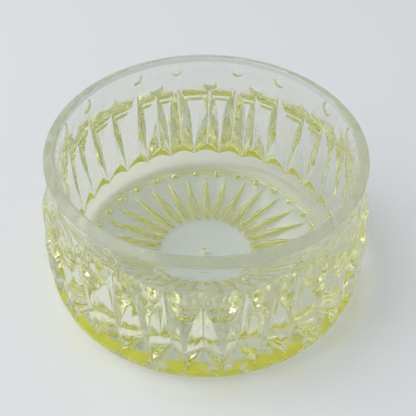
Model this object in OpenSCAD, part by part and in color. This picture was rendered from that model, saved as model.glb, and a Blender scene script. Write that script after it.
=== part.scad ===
// Pressed glass dish with a star base.
// One solid piece: smooth inside, patterned outside, with a flat foot ring to stand on.
// Millimetres, +Z up. The origin is the centre of the foot ring, on the surface it stands on.

/* [Dish] */
// Outer diameter of the rim
rim_d = 120; // [110:1:130]
// Height from the foot to the top of the rim
height = 63.5; // [60:0.5:68]
// Largest diameter of the belly
belly_d = 128.6; // [126:0.2:132]
// Thickness of the wall at the rim
rim_t = 4.4; // [3.5:0.1:5.5]
// Thickness of the floor
floor_t = 6.5; // [5.5:0.5:8]
// Radius of the inside corner between wall and floor
inner_corner_r = 9; // [6:0.5:12]
// Radius of the heel between belly and foot
heel_r = 7.5; // [5:0.5:9]

/* [Leaves] */
// Number of leaves round the belly, tall and short in turn
leaf_count = 32; // [28:4:36]
// Height of the tip of a short leaf
short_tip_z = 44; // [42:0.5:45]
// How much higher the tip of a tall leaf is
tall_extra = 5; // [3:0.5:6]
// Height at which the leaves end
leaf_foot_z = 9.5; // [9:0.1:12]
// Depth of the cut along the middle of a leaf at its foot
leaf_depth = 6.3; // [5.3:0.1:6.8]
// How far the leaves lean to either side, in degrees
leaf_lean = 3.2; // [0:0.2:4]

/* [Thumbprints] */
// Radius of a thumbprint as it shows on the neck
print_r = 3; // [2:0.1:3.5]
// Depth of a thumbprint
print_depth = 0.7; // [0.4:0.1:1]
// Height of the thumbprints above the short leaves
short_print_z = 49.8; // [49:0.2:51]
// Height of the thumbprints above the tall leaves
tall_print_z = 56.4; // [55:0.2:57]

/* [Star base] */
// Diameter of the recess inside the foot ring
recess_d = 103.6; // [100:0.2:106]
// Depth of the recess
recess_depth = 1.4; // [0.8:0.1:2]
// Radius at which the rays of the star begin
ray_inner_r = 19.6; // [18:0.2:24]
// Radius at which the rays of the star end
ray_outer_r = 47; // [42:0.2:48]
// Depth of a ray at its deepest
ray_depth = 1.5; // [1:0.1:2]
// Width of a ray at its widest
ray_w = 3.8; // [2.5:0.1:4.2]
// Radius of the round beads round the edge of the recess
bead_r = 1.8; // [1.4:0.1:2]
// Radius of the round pip at the centre
pip_r = 2; // [1.5:0.1:3]

/* [Hidden] */

leaf_pitch = 360 / leaf_count;
// How far a cut starts outside the glass
overshoot = 1;
cut_margin = 0.2;

// Rim: the top slopes down to its outer edge, and both edges are rounded
rim_r = rim_d / 2;
mouth_r = rim_r - rim_t;
lip_drop = 1.2;
lip_round = 0.8;
lip_in = [mouth_r + lip_round, height - lip_round];
lip_out = [rim_r - lip_round, height - lip_drop - lip_round];
lip_slope = atan(lip_drop / (rim_t - 2 * lip_round));

// Neck: a hollow curve from the shoulder up to the rim
shoulder_step = 1.2;
shoulder_top_z = 42.8;
shoulder_top = [rim_r + shoulder_step, shoulder_top_z];
neck_curve_r = 34;
neck_c = circles_meet(lip_out, neck_curve_r + lip_round, shoulder_top, neck_curve_r);
neck_to_lip = atan2(neck_c.y - lip_out.y, neck_c.x - lip_out.x);
neck_start = atan2(shoulder_top.y - neck_c.y, shoulder_top.x - neck_c.x) + 360;

// Belly: one large arc from the shoulder down to the heel
belly_r = belly_d / 2;
belly_curve_r = 125;
belly_c = [belly_r - belly_curve_r, 22];
shoulder_z = 38.6;
belly_top_a = asin((shoulder_z - belly_c.y) / belly_curve_r);

// Heel: a small arc that meets the belly smoothly and ends flat on the foot
heel_a = -asin((belly_c.y - heel_r) / (belly_curve_r - heel_r));
heel_c = [belly_c.x + (belly_curve_r - heel_r) * cos(heel_a), heel_r];

// Inside: a straight wall that opens upwards, a rounded corner and a flat floor
wall_lean = 4.2;
corner_z = floor_t + inner_corner_r;
corner_c = [
    mouth_r - (height - corner_z) * tan(wall_lean) - inner_corner_r / cos(wall_lean),
    corner_z
];

// Leaves: an upright V cut up to the tip, a wider one that leans inwards, and a deep one below
leaf_tip_spread = 1.1;
leaf_spread = 1.45;
leaf_dive_spread = 0.94;
leaf_bend_z = 38;
leaf_bend_inset = 3.2;
leaf_bend_r = belly_r - leaf_bend_inset;
tall_bend_step = 0.4;
leaf_mid_z = 20;
leaf_mid_inset = 4;
leaf_mid_r = belly_r - leaf_mid_inset;
leaf_foot_inset = 0.2;
leaf_valley_foot_r = belly_r - leaf_foot_inset - leaf_depth;
leaf_dive_top_z = 36;
leaf_foot_slope = 48;
leaf_valley_foot_z = leaf_foot_z + leaf_depth * tan(leaf_foot_slope);
leaf_dive_a = atan((leaf_bend_r - leaf_valley_foot_r) / (leaf_dive_top_z - leaf_valley_foot_z));
upper_reach = belly_r + cut_margin - neck_radius(short_tip_z + tall_extra);
dive_reach = belly_r + cut_margin - leaf_valley_foot_r;
dive_below = 12;
dive_above = 22;
foot_length = 20;
foot_curve_r = 10.5;
leaf_overrun = 4;
leaf_bottom_z = leaf_foot_z - leaf_overrun;

// The leaves were cut by hand, so they lean a little, each by its own amount
lean_phase = 40;
lean_step = 88.75;

// Thumbprints: shallow parts of a ball
print_ball_r = (print_r * print_r + print_depth * print_depth) / (2 * print_depth);

// Star: each ray is a V cut that is deepest nearer its inner end and runs out at both ends
ray_deep_share = 0.42;
ray_deep_r = ray_inner_r + ray_deep_share * (ray_outer_r - ray_inner_r);
ray_outer_a = atan(ray_depth / (ray_outer_r - ray_deep_r));
ray_inner_a = atan(ray_depth / (ray_deep_r - ray_inner_r));
ray_spread = ray_w / 2 / ray_depth;
ray_reach = 3 * ray_depth;

// Beads: round pits just across the edge of the recess
bead_rise = 0.8;
bead_inset = 0.3;

// Pip: a shallow part of a ball
pip_depth = 0.8;
pip_ball_r = (pip_r * pip_r + pip_depth * pip_depth) / (2 * pip_depth);

// Where two circles cross, on the side away from the axis
function circles_meet(c1, r1, c2, r2) =
    let (
        d = norm(c2 - c1),
        u = (c2 - c1) / d,
        along = (d * d + r1 * r1 - r2 * r2) / (2 * d),
        across = sqrt(r1 * r1 - along * along)
    )
    c1 + u * along + [-u.y, u.x] * across;

// Points along an arc round c, from one angle to another
function arc(c, r, from, to, steps) =
    [for (i = [0 : steps]) let (a = from + (to - from) * i / steps) c + r * [cos(a), sin(a)]];

// Radius of the hollow neck at a height
function neck_radius(z) = neck_c.x - sqrt(neck_curve_r * neck_curve_r - pow(z - neck_c.y, 2));

function is_tall(i) = i % 2 == 1;

// Half section of the plain dish, before its pattern is cut
module dish_section() {
    polygon(concat(
        [[0, 0]],
        arc(heel_c, heel_r, -90, heel_a, 5),
        arc(belly_c, belly_curve_r, heel_a, belly_top_a, 6),
        arc(neck_c, neck_curve_r, neck_start, 180 + neck_to_lip, 5),
        arc(lip_out, lip_round, 0, 90 - lip_slope, 3),
        arc(lip_in, lip_round, 90 - lip_slope, 90, 1),
        arc(lip_in, lip_round, 90, 180 - wall_lean, 3),
        arc(corner_c, inner_corner_r, -wall_lean, -90, 6),
        [[0, floor_t]]
    ));
}

// A straight V cut along Z with its sharp edge on the axis, opening towards +X
module v_cut(spread, reach, length) {
    linear_extrude(height = length)
        polygon([[0, 0], [reach, reach * spread], [reach, -reach * spread]]);
}

// The cut for one leaf, on the +X side, closed below by a sloping foot that is round across
module leaf_cut(tip_z, bend_r) {
    bend_a = atan((bend_r - leaf_mid_r) / (leaf_bend_z - leaf_mid_z));
    difference() {
        union() {
            translate([neck_radius(tip_z), 0, leaf_bottom_z])
                v_cut(leaf_tip_spread, upper_reach, tip_z + overshoot - leaf_bottom_z);
            translate([leaf_mid_r, 0, leaf_mid_z])
                rotate([0, bend_a, 0])
                    translate([0, 0, leaf_bottom_z - leaf_mid_z])
                        v_cut(leaf_spread, upper_reach, tip_z - leaf_bottom_z);
            translate([leaf_valley_foot_r, 0, leaf_valley_foot_z])
                rotate([0, leaf_dive_a, 0])
                    translate([0, 0, -dive_below])
                        v_cut(leaf_dive_spread, dive_reach, dive_below + dive_above);
        }
        translate([leaf_valley_foot_r, 0, leaf_valley_foot_z])
            rotate([0, leaf_foot_slope, 0])
                translate([-foot_length / 2, 0, -foot_curve_r])
                    rotate([0, 90, 0])
                        cylinder(h = foot_length, r = foot_curve_r, $fn = 64);
    }
}

// One leaf in its place round the belly, with its own small lean
module placed_leaf(i) {
    lean = leaf_lean * sin(lean_phase + lean_step * i);
    rotate([0, 0, 90 - i * leaf_pitch])
        translate([0, 0, leaf_foot_z])
            rotate([lean, 0, 0])
                translate([0, 0, -leaf_foot_z]) {
                    if (is_tall(i))
                        leaf_cut(short_tip_z + tall_extra, leaf_bend_r - tall_bend_step);
                    else
                        leaf_cut(short_tip_z, leaf_bend_r);
                    thumbprint(is_tall(i) ? tall_print_z : short_print_z);
                }
}

module thumbprint(z) {
    translate([neck_radius(z) + print_ball_r - print_depth, 0, z])
        sphere(r = print_ball_r, $fn = 64);
}

// A V trough along a ray, sharp edge up, that sinks outwards by an angle
module ray_trough(sink_a) {
    translate([ray_deep_r, 0, recess_depth + ray_depth])
        rotate([0, 90 + sink_a, 0])
            translate([0, 0, -ray_outer_r / 2])
                v_cut(ray_spread, ray_reach, ray_outer_r);
}

// One ray of the star, on the +X side, cut up into the floor of the recess
module ray_cut() {
    intersection() {
        ray_trough(ray_outer_a);
        ray_trough(-ray_inner_a);
        translate([0, -ray_w, recess_depth - cut_margin])
            cube([rim_r, 2 * ray_w, ray_reach]);
    }
}

// The underside: recess, star, beads between the rays, and the pip at the centre
module base_cuts() {
    translate([0, 0, -overshoot])
        cylinder(h = overshoot + recess_depth, d = recess_d, $fn = 128);
    for (i = [0 : leaf_count - 1]) {
        rotate([0, 0, 90 - i * leaf_pitch])
            ray_cut();
        rotate([0, 0, 90 - (i + 0.5) * leaf_pitch])
            translate([recess_d / 2 - bead_inset, 0, -overshoot])
                cylinder(h = overshoot + recess_depth + bead_rise, r = bead_r, $fn = 32);
    }
    translate([0, 0, recess_depth + pip_depth - pip_ball_r])
        sphere(r = pip_ball_r, $fn = 48);
}

module dish() {
    color([0.80, 0.86, 0.55, 0.85])
        difference() {
            rotate_extrude($fn = 180)
                dish_section();
            for (i = [0 : leaf_count - 1])
                placed_leaf(i);
            base_cuts();
        }
}

dish();
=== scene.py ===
"""Dresses the pressed glass dish: one fire-polished glass mesh round the CAD dish, on a pale floor."""

import math

import bpy
import numpy as np
from mathutils import Matrix, Vector


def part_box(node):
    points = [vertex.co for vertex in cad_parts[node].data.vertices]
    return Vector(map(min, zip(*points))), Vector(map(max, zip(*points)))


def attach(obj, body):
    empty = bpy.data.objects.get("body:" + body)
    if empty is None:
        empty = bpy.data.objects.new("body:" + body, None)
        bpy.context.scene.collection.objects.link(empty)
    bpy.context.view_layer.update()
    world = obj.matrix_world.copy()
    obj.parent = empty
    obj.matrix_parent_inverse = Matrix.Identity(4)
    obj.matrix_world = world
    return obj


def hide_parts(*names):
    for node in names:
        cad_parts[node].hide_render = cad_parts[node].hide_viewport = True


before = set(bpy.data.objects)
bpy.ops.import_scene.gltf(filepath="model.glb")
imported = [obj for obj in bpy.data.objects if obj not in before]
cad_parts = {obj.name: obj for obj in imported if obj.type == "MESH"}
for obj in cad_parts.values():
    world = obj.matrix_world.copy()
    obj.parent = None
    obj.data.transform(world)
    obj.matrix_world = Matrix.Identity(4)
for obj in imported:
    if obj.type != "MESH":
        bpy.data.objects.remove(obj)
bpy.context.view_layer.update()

MM = 0.001
low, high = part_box("dish")

# Body of the dish in millimetres, with the CAD part's sizes
HEIGHT = (high.z - low.z) / MM
BELLY_R = 64.3
RIM_R = 60.0
RIM_T = 4.4
LIP_DROP = 1.2
LIP_ROUND = 0.8
WALL_LEAN = math.radians(4.2)
FLOOR_T = 6.5
CORNER_R = 9.0
HEEL_R = 7.5
BELLY_CURVE_R = 125.0
BELLY_Z = 22.0
SHOULDER_Z = 38.6
SHOULDER_TOP = (61.2, 42.8)
NECK_CURVE_R = 34.0

# Two forms that the CAD part keeps plain: a wave up the shoulder, and a foot ring drawn in
SHOULDER_WAVE = 0.14
FOOT_OUT_R = 53.4

# Leaves: V cuts with a tip, a middle, a dive and a round foot, in the CAD part's places
LEAVES = 32
SHORT_TIP_Z = 44.0
TALL_EXTRA = 5.0
LEAF_BEND_Z = 38.0
LEAF_BEND_R = 61.1
TALL_BEND_STEP = 0.4
LEAF_MID_Z = 20.0
LEAF_MID_R = 60.3
LEAF_FOOT_Z = 9.5
LEAF_DEPTH = 6.3
LEAF_FOOT_INSET = 0.2
LEAF_FOOT_SLOPE = math.radians(48)
LEAF_FOOT_CURVE_R = 10.5
LEAF_FOOT_REACH = 8
DIVE_TOP_Z = 36.0
LEAF_LEAN = 3.2
LEAN_PHASE = 40.0
LEAN_STEP = 88.75

# Half the width of a V cut for each millimetre of its depth, wider than in the CAD part but for
# the dive
LEAF_TIP_SPREAD = 1.35
LEAF_SPREAD = 1.6
DIVE_SPREAD = 0.94

# Thumbprints, a little larger than in the CAD part
PRINT_R = 3.3
PRINT_DEPTH = 0.9
SHORT_PRINT_Z = 49.8
TALL_PRINT_Z = 56.4

# Recess of the underside: shallow at its edge, and deeper between the two radii of its slope
RECESS_R = 51.8
RECESS_DEPTH = 1.4
RECESS_EDGE_DEPTH = 0.18
RECESS_SLOPE = (44.0, 32.0)

# Star: flutes with a round inner end and a pointed outer end, a bead between each two, and a pip
RAY_IN_R = 19.6
RAY_OUT_R = 47.0
RAY_WIDE_SHARE = 0.28
RAY_DEPTH = 1.4
RAY_W = 3.5
RAY_FLATNESS = 3
RAY_LEAST_WIDTH = 0.001
BEAD_R = 1.5
BEAD_INSET = 1.7
BEAD_DEPTH = 1.3
BEAD_STRETCH = 1.7
BEAD_FLATNESS = 3
PIP_R = 2.0
PIP_DEPTH = 1.0

# How far fire polishing has rounded the edges of the pattern
RIDGE_SOFT = 0.2
VALLEY_SOFT = 0.12
FOOT_SOFT = 0.3
PRINT_SOFT = 0.12
PIP_SOFT = 0.175
EDGE_SOFT = 0.06

# Grid of the mesh: columns for each leaf, how far they crowd towards its valley and ridges, the
# spacing of the rows and where it changes, and the steps along each arc and slope
LEAF_COLUMNS = 32
COLUMN_CROWDING = 0.3
CUT_ROW = 0.45
HUB_ROW = 3
FLUTE_ROW = 0.6
BEAD_ROW = 0.25
PIP_ROW = 0.3
PIP_EDGE = (0.6, 1.4)
RAY_MARGIN = 1
UNDERSIDE_HOLE_R = 0.15
FLOOR_HOLE_R = 0.3
HEEL_STEPS = 14
LIP_STEPS = 8
LIP_START = -math.radians(25)
LIP_MARGIN = 0.5
WALL_STEPS = 15
CORNER_STEPS = 14
FLOOR_STEPS = 15

# Glass: how strongly its volume takes light, and the colour and finish of its surface
ABSORPTION = 3.9
ABSORPTION_COLOUR = (0.97, 0.98, 0.02, 1)
REFRACTION = 1.52
GLASS_COLOUR = (0.91, 0.92, 0.90, 1)
GLASS_ROUGHNESS = 0.01
# Painted shade: the rim shows a darker grey than the clear glass through its matte share, standing in
# for the darkening that refraction gives the rounded lip; it is also rougher
RIM_PAINTED_SHADE_COLOUR = (0.66, 0.68, 0.66, 1)
RIM_ROUGHNESS = 0.15
RIM_CLEARNESS = 0.7
# Painted shade: the underside's tint is a darker blue-grey than the rest of the glass, standing in for
# the shade on the floor beneath the disc
BASE_PAINTED_SHADE_COLOUR = (0.87, 0.90, 0.89, 1)

# Ripples of the surface: two noises as bump, in metres and noise cells to a metre
RIPPLE_SCALE = 900.0
RIPPLE_STRETCH = 0.35
RIPPLE_HEIGHT = 0.000015
WAVE_SCALE = 230.0
WAVE_HEIGHT = 0.00006

# Painted glow: a deep yellow, partly diffuse, on the ledges, the heel and the sides of the star, where
# light that runs long ways through the uranium glass shows yellow
PAINTED_GLOW_COLOUR = (0.75, 0.74, 0.03, 1)
LEDGE_CLEARNESS = 0.25
HEEL_CLEARNESS = 0.6
STAR_CLEARNESS = 0.3
PATCH_SCALE = 120.0

# Masks, each with the value at which it is 0 and the one at which it is 1. Heights and radii are
# in metres, and slopes are the Z of the surface's normal, which points the other way in the glass
RIM_Z = (0.0610, 0.0620)
OUTSIDE_R = (0.0560, 0.0575)
BASE_Z = (0.0036, 0.0032)
BASE_EDGE_R = (0.0519, 0.0516)
STAR_EDGE_R = (0.0534, 0.0533)
STAR_SLOPE = (0.90, 0.65)
LEDGE_SLOPE = (-0.20, -0.45)
LEDGE_LOW_Z = (0.0080, 0.0090)
LEDGE_HIGH_Z = (0.0440, 0.0425)
HEEL_LOW_Z = (0.0020, 0.0032)
HEEL_HIGH_Z = (0.0135, 0.0115)
HEEL_PATCHES = (0.33, 0.50)
FROM_OUTSIDE = (1.0, 0.0)

# Studio
FLOOR_HALF_WIDTH = 3.0
FLOOR_DROP = 0.0002
FLOOR_COLOUR = (0.80, 0.81, 0.83, 1)
FLOOR_ROUGHNESS = 0.6
SKY_COLOUR = (0.95, 0.98, 1.0, 1)
SKY_STRENGTH = 0.62
LAMP_PLACE = (-0.9, -0.1, 1.0)
LAMP_SIZE = 1.4
LAMP_POWER = 9


def circles_meet(c1, r1, c2, r2):
    """Where two circles cross, on the side that lies to the left of the line from c1 to c2."""
    c1, c2 = np.array(c1, float), np.array(c2, float)
    d = np.linalg.norm(c2 - c1)
    u = (c2 - c1) / d
    along = (d * d + r1 * r1 - r2 * r2) / (2 * d)
    across = math.sqrt(r1 * r1 - along * along)
    return c1 + u * along + np.array([-u[1], u[0]]) * across


def arc(centre, radius, start, end, steps):
    """Points along an arc, from one angle to another in radians, both ends included."""
    a = np.linspace(start, end, steps + 1)
    return np.stack([centre[0] + radius * np.cos(a), centre[1] + radius * np.sin(a)], axis=1)


def smooth_min(a, b, k):
    """The smaller of two heights, rounded over a width k where they cross."""
    h = np.clip(0.5 + 0.5 * (b - a) / k, 0, 1)
    return b + (a - b) * h - k * h * (1 - h)


def smooth_max(a, b, k):
    """The larger of two heights, rounded over a width k where they cross."""
    return -smooth_min(-a, -b, k)


def smooth_step(start, end, x):
    """Rises smoothly from 0 to 1 as x goes from start to end."""
    t = np.clip((x - start) / (end - start), 0, 1)
    return t * t * (3 - 2 * t)


MOUTH_R = RIM_R - RIM_T
LIP_IN = (MOUTH_R + LIP_ROUND, HEIGHT - LIP_ROUND)
LIP_OUT = (RIM_R - LIP_ROUND, HEIGHT - LIP_DROP - LIP_ROUND)
LIP_SLOPE = math.atan(LIP_DROP / (RIM_T - 2 * LIP_ROUND))
NECK_C = circles_meet(LIP_OUT, NECK_CURVE_R + LIP_ROUND, SHOULDER_TOP, NECK_CURVE_R)
BELLY_C = (BELLY_R - BELLY_CURVE_R, BELLY_Z)
HEEL_A = -math.asin((BELLY_Z - HEEL_R) / (BELLY_CURVE_R - HEEL_R))
HEEL_C = (BELLY_C[0] + (BELLY_CURVE_R - HEEL_R) * math.cos(HEEL_A), HEEL_R)
CORNER_Z = FLOOR_T + CORNER_R
CORNER_C = (
    MOUTH_R - (HEIGHT - CORNER_Z) * math.tan(WALL_LEAN) - CORNER_R / math.cos(WALL_LEAN),
    CORNER_Z,
)


def neck_radius(z):
    """Radius of the concave neck."""
    return NECK_C[0] - np.sqrt(NECK_CURVE_R**2 - (z - NECK_C[1]) ** 2)


def plain_radius(z):
    """Radius of the outside before its pattern is cut, from the top of the heel to the lip."""
    belly = BELLY_C[0] + np.sqrt(BELLY_CURVE_R**2 - (np.minimum(z, SHOULDER_Z) - BELLY_Z) ** 2)
    climb = np.clip((z - SHOULDER_Z) / (SHOULDER_TOP[1] - SHOULDER_Z), 0, 1)
    slope = belly + (SHOULDER_TOP[0] - belly) * (climb + SHOULDER_WAVE * np.sin(2 * math.pi * climb))
    return np.where(z > SHOULDER_TOP[1], neck_radius(np.maximum(z, SHOULDER_TOP[1])), slope)


SHORT_VALLEY_R = float(neck_radius(SHORT_TIP_Z))
TALL_VALLEY_R = float(neck_radius(SHORT_TIP_Z + TALL_EXTRA))
VALLEY_FOOT_R = BELLY_R - LEAF_FOOT_INSET - LEAF_DEPTH
VALLEY_FOOT_Z = LEAF_FOOT_Z + LEAF_DEPTH * math.tan(LEAF_FOOT_SLOPE)
DIVE_SLOPE = (LEAF_BEND_R - VALLEY_FOOT_R) / (DIVE_TOP_Z - VALLEY_FOOT_Z)
PRINT_BALL_R = (PRINT_R**2 + PRINT_DEPTH**2) / (2 * PRINT_DEPTH)
PITCH = 2 * math.pi / LEAVES


def leaf_lean(i):
    """Angle at which a leaf leans to one side, different for each leaf."""
    return np.radians(LEAF_LEAN * np.sin(np.radians(LEAN_PHASE + LEAN_STEP * np.mod(i, LEAVES))))


def leaf_azimuth(i):
    """Angle round the dish at which a leaf's foot stands."""
    return math.pi / 2 - i * PITCH


def v_radius(valley_r, spread, phi, rise, lean):
    """Radius of a V cut at an angle phi from the middle of its leaf."""
    sides = []
    for side in (1, -1):
        top = valley_r + side * rise * np.sin(lean) / spread
        sides.append(top / (np.cos(phi) - side * np.sin(phi) * np.cos(lean) / spread))
    return smooth_max(sides[0], sides[1], VALLEY_SOFT)


def carve(radius, azimuth, z, column):
    """Cuts the leaves and thumbprints nearest to each point into the plain outside."""
    nearest = np.round(column)
    rise = z - LEAF_FOOT_Z
    dive_spread = DIVE_SPREAD * math.cos(math.atan(DIVE_SLOPE))
    out = radius.copy()
    for i in (nearest - 1, nearest, nearest + 1):
        tall = np.mod(i, 2) == 1
        lean = leaf_lean(i)
        phi = azimuth - leaf_azimuth(i)
        tip_r = np.where(tall, TALL_VALLEY_R, SHORT_VALLEY_R)
        tip = v_radius(tip_r, LEAF_TIP_SPREAD, phi, rise, lean)
        bend_r = LEAF_BEND_R - np.where(tall, TALL_BEND_STEP, 0)
        bend_slope = (bend_r - LEAF_MID_R) / (LEAF_BEND_Z - LEAF_MID_Z)
        middle_r = LEAF_MID_R + (z - LEAF_MID_Z) * bend_slope
        middle = v_radius(middle_r, LEAF_SPREAD, phi, rise, lean)
        upper = smooth_min(tip, middle, VALLEY_SOFT)
        dive_r = VALLEY_FOOT_R + (z - VALLEY_FOOT_Z) * DIVE_SLOPE
        dive = v_radius(dive_r, dive_spread, phi, rise, lean)
        across = radius * np.sin(phi) * np.cos(lean) + rise * np.sin(lean)
        in_reach = np.clip(across, -LEAF_FOOT_REACH, LEAF_FOOT_REACH)
        drop = LEAF_FOOT_CURVE_R - np.sqrt(LEAF_FOOT_CURVE_R**2 - in_reach**2)
        foot_z = VALLEY_FOOT_Z - drop / math.cos(LEAF_FOOT_SLOPE)
        foot = (VALLEY_FOOT_R + (foot_z - z) / math.tan(LEAF_FOOT_SLOPE)) / np.cos(phi)
        cut = smooth_max(smooth_min(upper, dive, FOOT_SOFT), foot, FOOT_SOFT)
        out = smooth_min(out, cut, RIDGE_SOFT)
        print_z = np.where(tall, TALL_PRINT_Z, SHORT_PRINT_Z)
        above = rise * np.cos(lean) + LEAF_FOOT_Z - print_z
        inside = PRINT_BALL_R**2 - across**2 - above**2
        ball_c = neck_radius(print_z) + PRINT_BALL_R - PRINT_DEPTH
        ball = (ball_c - np.sqrt(np.maximum(inside, 0))) / np.cos(phi)
        ball = np.where(inside > 0, ball, 2 * RIM_R)
        out = smooth_min(out, ball, PRINT_SOFT)
    return out


def underside_height(r, azimuth, column):
    """Height of the underside: foot ring, recess, star, beads and pip."""
    rise = np.clip((RECESS_SLOPE[0] - r) / (RECESS_SLOPE[0] - RECESS_SLOPE[1]), 0, 1)
    edge = 1 - smooth_step(RECESS_R - EDGE_SOFT, RECESS_R + EDGE_SOFT, r)
    recess = RECESS_EDGE_DEPTH * edge + (RECESS_DEPTH - RECESS_EDGE_DEPTH) * rise
    out = recess
    for i in (np.round(column) - 1, np.round(column), np.round(column) + 1):
        phi = azimuth - leaf_azimuth(i)
        share = (r * np.cos(phi) - RAY_IN_R) / (RAY_OUT_R - RAY_IN_R)
        inner = np.clip(1 - share / RAY_WIDE_SHARE, 0, 1)
        outer = np.clip((share - RAY_WIDE_SHARE) / (1 - RAY_WIDE_SHARE), 0, 1)
        round_end = np.maximum(np.sqrt(1 - inner**2), RAY_LEAST_WIDTH)
        half_w = RAY_W / 2 * round_end * np.maximum(1 - outer, RAY_LEAST_WIDTH)
        across = np.clip(np.abs(r * np.sin(phi)) / half_w, 0, 1)
        inside = (share > 0) & (share < 1)
        out = np.maximum(out, recess + inside * RAY_DEPTH * (1 - across**RAY_FLATNESS))
    for i in (np.floor(column) + 0.5, np.floor(column) - 0.5, np.floor(column) + 1.5):
        phi = azimuth - leaf_azimuth(i)
        along = (r * np.cos(phi) - RECESS_R + BEAD_INSET) / BEAD_STRETCH
        away = np.hypot(along, r * np.sin(phi))
        dome = 1 - np.clip(away / BEAD_R, 0, 1) ** BEAD_FLATNESS
        out = np.maximum(out, BEAD_DEPTH * dome)
    pip = RECESS_DEPTH + PIP_DEPTH * (1 - (r / PIP_R) ** 2)
    return smooth_max(out, pip, PIP_SOFT)


def even(start, end, step):
    """Evenly spaced values from start up to, but without, end."""
    count = max(1, round(abs(end - start) / step))
    return np.linspace(start, end, count, endpoint=False)


def leaf_columns():
    """Column positions in leaves, closer together near the valleys and ridges."""
    t = np.arange(LEAVES * LEAF_COLUMNS) / LEAF_COLUMNS
    return t - COLUMN_CROWDING * np.sin(4 * np.pi * t) / (4 * np.pi)


def underside_rings(column, straight):
    """The rings of the underside, from its centre to the outer edge of the foot."""
    rings = []
    for r in np.concatenate([
        even(UNDERSIDE_HOLE_R, PIP_EDGE[0] * PIP_R, FLUTE_ROW),
        even(PIP_EDGE[0] * PIP_R, PIP_EDGE[1] * PIP_R, PIP_ROW),
        even(PIP_EDGE[1] * PIP_R, RAY_IN_R - RAY_MARGIN, HUB_ROW),
        even(RAY_IN_R - RAY_MARGIN, RAY_OUT_R + RAY_MARGIN, FLUTE_ROW),
        even(RAY_OUT_R + RAY_MARGIN, RECESS_R - EDGE_SOFT, BEAD_ROW),
        even(RECESS_R - EDGE_SOFT, RECESS_R + EDGE_SOFT, EDGE_SOFT),
        even(RECESS_R + EDGE_SOFT, FOOT_OUT_R, BEAD_ROW),
    ]):
        radius = np.full(column.shape, r)
        rings.append((radius, straight, underside_height(radius, straight, column)))
    return rings


def cut_rings(column, straight, bottom):
    """The rings of the patterned outside, whose columns follow the leaning leaves."""
    left = np.floor(column)
    share = column - left
    lean = leaf_lean(left) * (1 - share) + leaf_lean(left + 1) * share
    lip_bottom = LIP_OUT[1] - LIP_MARGIN
    rings = []
    for z in even(bottom, lip_bottom, CUT_ROW):
        height = np.full(column.shape, z)
        fade = 1 - smooth_step(SHORT_PRINT_Z, lip_bottom, z)
        shift = -max(z - LEAF_FOOT_Z, 0) * np.tan(lean) * fade
        azimuth = straight + shift / RIM_R
        radius = carve(plain_radius(height), azimuth, height, column)
        rings.append((radius, azimuth, height))
    return rings


def heel_profile():
    """Points of the heel, a quarter round that is stretched from the foot to the belly."""
    width = HEEL_C[0] - FOOT_OUT_R + HEEL_R * math.cos(HEEL_A)
    points = arc((0, HEEL_C[1]), HEEL_R, -math.pi / 2, HEEL_A, HEEL_STEPS)[:-1]
    points[:, 0] = FOOT_OUT_R + width * points[:, 0] / (HEEL_R * math.cos(HEEL_A))
    return points


def inner_profile():
    """Points of the plain turned part, over the lip and down the inside to the floor's centre."""
    lip = np.concatenate([
        arc(LIP_OUT, LIP_ROUND, LIP_START, math.pi / 2 - LIP_SLOPE, LIP_STEPS),
        arc(LIP_IN, LIP_ROUND, math.pi / 2 - LIP_SLOPE, math.pi - WALL_LEAN, LIP_STEPS),
    ])
    corner = arc(CORNER_C, CORNER_R, -WALL_LEAN, -math.pi / 2, CORNER_STEPS)
    shares = np.linspace(0, 1, WALL_STEPS + 1)[1:-1, None]
    wall = lip[-1] + (corner[0] - lip[-1]) * shares
    floor_r = np.geomspace(CORNER_C[0], FLOOR_HOLE_R, FLOOR_STEPS + 1)[1:]
    floor = np.stack([floor_r, np.full(floor_r.shape, FLOOR_T)], axis=1)
    return np.concatenate([lip, wall, corner, floor])


def turned_rings(column, straight, profile):
    """A plain ring for each point of a profile."""
    return [(np.full(column.shape, r), straight, np.full(column.shape, z)) for r, z in profile]


def dish_rings():
    """Every ring of the closed surface, from the centre of the underside to that of the floor."""
    column = leaf_columns()
    straight = math.pi / 2 - PITCH * column
    heel_top = HEEL_C[1] + HEEL_R * math.sin(HEEL_A)
    return (
        underside_rings(column, straight)
        + turned_rings(column, straight, heel_profile())
        + cut_rings(column, straight, heel_top)
        + turned_rings(column, straight, inner_profile())
    )


def closed_mesh(name, rings, bottom, top):
    """A mesh from rings of (radius, azimuth, height), closed by a point below and one above."""
    columns = len(rings[0][0])
    points = np.concatenate([
        np.stack([r * np.cos(a), r * np.sin(a), z], axis=1) for r, a, z in rings
    ])
    points = np.concatenate([points, [[0, 0, bottom], [0, 0, top]]]) * MM
    grid = np.arange(len(rings) * columns).reshape(len(rings), columns)
    after = np.roll(grid, -1, axis=1)
    quads = np.stack([grid[:-1], grid[1:], after[1:], after[:-1]], axis=-1).reshape(-1, 4)
    low_point = np.full(columns, len(points) - 2)
    high_point = np.full(columns, len(points) - 1)
    first = np.stack([low_point, grid[0], after[0]], axis=1)
    last = np.stack([high_point, after[-1], grid[-1]], axis=1)
    mesh = bpy.data.meshes.new(name)
    mesh.from_pydata(points.tolist(), [], quads.tolist() + first.tolist() + last.tolist())
    mesh.validate()
    mesh.shade_smooth()
    return mesh


def node(tree, kind, **sockets):
    """A shader node with the given input values."""
    made = tree.nodes.new(kind)
    for name, value in sockets.items():
        made.inputs[name.replace("_", " ")].default_value = value
    return made


def between(tree, value, ends):
    """A mask that goes from 0 to 1 as a value goes from the first end to the second."""
    mask = node(tree, "ShaderNodeMapRange", From_Min=ends[0], From_Max=ends[1])
    mask.interpolation_type = "SMOOTHSTEP"
    tree.links.new(value, mask.inputs["Value"])
    return mask.outputs["Result"]


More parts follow.
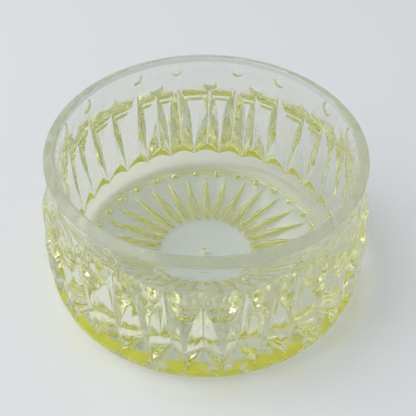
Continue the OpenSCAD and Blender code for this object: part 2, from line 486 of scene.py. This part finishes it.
def mixed(tree, mask, plain, marked):
    """A value or colour that goes from plain to marked as the mask goes from 0 to 1."""
    mix = tree.nodes.new("ShaderNodeMix")
    is_colour = not isinstance(marked, float)
    mix.data_type = "RGBA" if is_colour else "FLOAT"
    ends = [socket for socket in mix.inputs if socket.enabled and socket.name in ("A", "B")]
    for socket, value in zip(ends, (plain, marked)):
        if isinstance(value, bpy.types.NodeSocket):
            tree.links.new(value, socket)
        else:
            socket.default_value = value
    factor = next(socket for socket in mix.inputs if socket.enabled and socket.name == "Factor")
    tree.links.new(mask, factor)
    return next(socket for socket in mix.outputs if socket.enabled)


def calculated(tree, operation, *values):
    """The result of a Math node."""
    made = tree.nodes.new("ShaderNodeMath")
    made.operation = operation
    for value, socket in zip(values, made.inputs):
        tree.links.new(value, socket)
    return made.outputs[0]


def product(tree, a, b):
    return calculated(tree, "MULTIPLY", a, b)


def parts_of(tree, vector):
    """The X, Y and Z of a vector."""
    parts = tree.nodes.new("ShaderNodeSeparateXYZ")
    tree.links.new(vector, parts.inputs[0])
    return parts.outputs


def distance_from_axis(tree, place):
    """Distance of a point from the dish's axis."""
    flat = tree.nodes.new("ShaderNodeVectorMath")
    flat.operation = "MULTIPLY"
    flat.inputs[1].default_value = (1, 1, 0)
    tree.links.new(place, flat.inputs[0])
    length = tree.nodes.new("ShaderNodeVectorMath")
    length.operation = "LENGTH"
    tree.links.new(flat.outputs[0], length.inputs[0])
    return length.outputs["Value"]


def noise(tree, vector, scale, detail):
    """The height of a noise over the given vector."""
    made = node(tree, "ShaderNodeTexNoise", Scale=scale, Detail=detail)
    tree.links.new(vector, made.inputs["Vector"])
    return made.outputs[0]


def glass_masks(tree, place):
    """Where the rim and the underside are painted in shade, where the outside is patterned, and where
    the ledges, heel and star carry a painted glow.
    """
    height = parts_of(tree, place)["Z"]
    radius = distance_from_axis(tree, place)
    geometry = tree.nodes.new("ShaderNodeNewGeometry")
    slope = parts_of(tree, geometry.outputs["Normal"])["Z"]
    outside = between(tree, radius, OUTSIDE_R)
    ledge_band = product(tree, between(tree, height, LEDGE_HIGH_Z), between(tree, height, LEDGE_LOW_Z))
    heel_band = product(tree, between(tree, height, HEEL_HIGH_Z), between(tree, height, HEEL_LOW_Z))
    ledge = product(tree, between(tree, slope, LEDGE_SLOPE), ledge_band)
    heel = product(tree, heel_band, between(tree, geometry.outputs["Backfacing"], FROM_OUTSIDE))
    patches = between(tree, noise(tree, place, PATCH_SCALE, 1.0), HEEL_PATCHES)
    underneath = between(tree, height, BASE_Z)
    star = product(tree, underneath, between(tree, radius, STAR_EDGE_R))
    steep = between(tree, calculated(tree, "ABSOLUTE", slope), STAR_SLOPE)
    # The rim and underside masks place painted shade; the ledge, heel and star masks place painted
    # glow.
    return {
        "rim": between(tree, height, RIM_Z),
        "outside": outside,
        "base": product(tree, underneath, between(tree, radius, BASE_EDGE_R)),
        "ledge": product(tree, ledge, outside),
        "heel": product(tree, heel, product(tree, patches, outside)),
        "star": product(tree, star, steep),
    }


def glass_colour(tree, masks):
    # Painted shade: the underside and the rim take darker greys than the clear glass.
    clear = mixed(tree, masks["base"], GLASS_COLOUR, BASE_PAINTED_SHADE_COLOUR)
    clear = mixed(tree, masks["rim"], clear, RIM_PAINTED_SHADE_COLOUR)
    # Painted glow: a deep yellow on the ledges, the heel and the sides of the star.
    glow = calculated(tree, "MAXIMUM", masks["ledge"], masks["heel"])
    glow = calculated(tree, "MAXIMUM", glow, masks["star"])
    return mixed(tree, glow, clear, PAINTED_GLOW_COLOUR)


def glass_clearness(tree, masks):
    """How much of the light goes through: less at the rim, where a painted darker shade shows, and
    where the painted glow shows.
    """
    clearness = mixed(tree, masks["rim"], 1.0, RIM_CLEARNESS)
    clearness = mixed(tree, masks["ledge"], clearness, LEDGE_CLEARNESS)
    clearness = mixed(tree, masks["heel"], clearness, HEEL_CLEARNESS)
    return mixed(tree, masks["star"], clearness, STAR_CLEARNESS)


def glass_ripples(tree, place, outside):
    """The normal of a slightly uneven surface, with finer ripples on the pressed outside."""
    coarse = node(tree, "ShaderNodeBump", Strength=1.0, Distance=WAVE_HEIGHT)
    tree.links.new(noise(tree, place, WAVE_SCALE, 1.0), coarse.inputs["Height"])
    stretch = node(tree, "ShaderNodeMapping", Scale=(1, 1, RIPPLE_STRETCH))
    tree.links.new(place, stretch.inputs["Vector"])
    ripple = noise(tree, stretch.outputs["Vector"], RIPPLE_SCALE, 2.0)
    fine = node(tree, "ShaderNodeBump", Strength=1.0, Distance=RIPPLE_HEIGHT)
    tree.links.new(product(tree, ripple, outside), fine.inputs["Height"])
    tree.links.new(coarse.outputs["Normal"], fine.inputs["Normal"])
    return fine.outputs["Normal"]


def glass_material():
    """Pale yellow-green glass: rougher and painted in shade at the rim, painted in shade underneath,
    with painted glow on ledges, heel and star, and rippled where it is pressed.
    """
    material = bpy.data.materials.new("uranium_green_glass")
    material.use_nodes = True
    tree = material.node_tree
    tree.nodes.clear()
    link = tree.links.new
    place = tree.nodes.new("ShaderNodeTexCoord").outputs["Object"]
    masks = glass_masks(tree, place)
    shader = node(tree, "ShaderNodeBsdfPrincipled", IOR=REFRACTION)
    link(glass_colour(tree, masks), shader.inputs["Base Color"])
    link(mixed(tree, masks["rim"], GLASS_ROUGHNESS, RIM_ROUGHNESS), shader.inputs["Roughness"])
    link(glass_clearness(tree, masks), shader.inputs["Transmission Weight"])
    link(glass_ripples(tree, place, masks["outside"]), shader.inputs["Normal"])
    absorb = node(tree, "ShaderNodeVolumeAbsorption", Color=ABSORPTION_COLOUR, Density=ABSORPTION)
    out = tree.nodes.new("ShaderNodeOutputMaterial")
    link(shader.outputs["BSDF"], out.inputs["Surface"])
    link(absorb.outputs["Volume"], out.inputs["Volume"])
    return material


def make_dish():
    """The whole dish as one closed glass piece, in place of the CAD solid."""
    mesh = closed_mesh("glass_dish", dish_rings(), RECESS_DEPTH + PIP_DEPTH, FLOOR_T)
    mesh.materials.append(glass_material())
    dish = bpy.data.objects.new("glass_dish", mesh)
    bpy.context.scene.collection.objects.link(dish)
    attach(dish, "root")
    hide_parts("dish")


def make_floor():
    """A plain pale floor, a hair below the foot so that the two faces don't coincide."""
    mesh = bpy.data.meshes.new("floor")
    half = FLOOR_HALF_WIDTH
    signs = [(-1, -1), (1, -1), (1, 1), (-1, 1)]
    mesh.from_pydata([(half * x, half * y, -FLOOR_DROP) for x, y in signs], [], [(0, 1, 2, 3)])
    material = bpy.data.materials.new("floor_paint")
    material.use_nodes = True
    shader = material.node_tree.nodes["Principled BSDF"]
    shader.inputs["Base Color"].default_value = FLOOR_COLOUR
    shader.inputs["Roughness"].default_value = FLOOR_ROUGHNESS
    mesh.materials.append(material)
    floor = bpy.data.objects.new("floor", mesh)
    bpy.context.scene.collection.objects.link(floor)


def make_world():
    """An even pale sky, which gives most of the light."""
    world = bpy.data.worlds.new("studio")
    world.use_nodes = True
    sky = world.node_tree.nodes["Background"]
    sky.inputs["Color"].default_value = SKY_COLOUR
    sky.inputs["Strength"].default_value = SKY_STRENGTH
    bpy.context.scene.world = world


def soft_light(name, place, aim, size, power):
    """A square lamp that faces the point it is aimed at."""
    lamp = bpy.data.lights.new(name, "AREA")
    lamp.size = size
    lamp.energy = power
    holder = bpy.data.objects.new(name, lamp)
    holder.location = place
    holder.rotation_euler = (Vector(aim) - Vector(place)).to_track_quat("-Z", "Y").to_euler()
    bpy.context.scene.collection.objects.link(holder)


def make_camera():
    """The camera stands in front of the dish and looks down into it."""
    elevation = math.radians(40.12)
    distance = 0.2912
    aim_down = math.radians(4.573)
    aim_right = math.radians(0.156)
    roll = math.radians(0.758)
    rim_centre = Vector((0, 0, (HEIGHT - LIP_DROP) * MM))
    place = rim_centre + distance * Vector((0, -math.cos(elevation), math.sin(elevation)))
    forward = (rim_centre - place).normalized()
    right = Vector((1, 0, 0))
    up = right.cross(forward)
    forward, right = (
        forward * math.cos(aim_right) + right * math.sin(aim_right),
        right * math.cos(aim_right) - forward * math.sin(aim_right),
    )
    forward, up = (
        forward * math.cos(aim_down) - up * math.sin(aim_down),
        up * math.cos(aim_down) + forward * math.sin(aim_down),
    )
    right, up = (
        right * math.cos(roll) + up * math.sin(roll),
        up * math.cos(roll) - right * math.sin(roll),
    )
    data = bpy.data.cameras.new("camera")
    data.lens = 67.88
    data.sensor_width = 36
    data.clip_start = 0.01
    camera = bpy.data.objects.new("camera", data)
    turn = Matrix((right, up, -forward)).transposed().to_4x4()
    camera.matrix_world = Matrix.Translation(place) @ turn
    bpy.context.scene.collection.objects.link(camera)
    bpy.context.scene.camera = camera


def set_look():
    """Plain colours, and enough bounces for light to cross the pattern of the glass."""
    scene = bpy.context.scene
    scene.view_settings.view_transform = "Standard"
    scene.cycles.max_bounces = 32
    scene.cycles.transmission_bounces = 32
    scene.cycles.glossy_bounces = 16
    scene.cycles.diffuse_bounces = 4
    scene.cycles.blur_glossy = 0
    scene.cycles.use_denoising = True


make_dish()
make_floor()
make_world()
soft_light("key_light", LAMP_PLACE, (0, 0, 0), LAMP_SIZE, LAMP_POWER)
make_camera()
set_look()
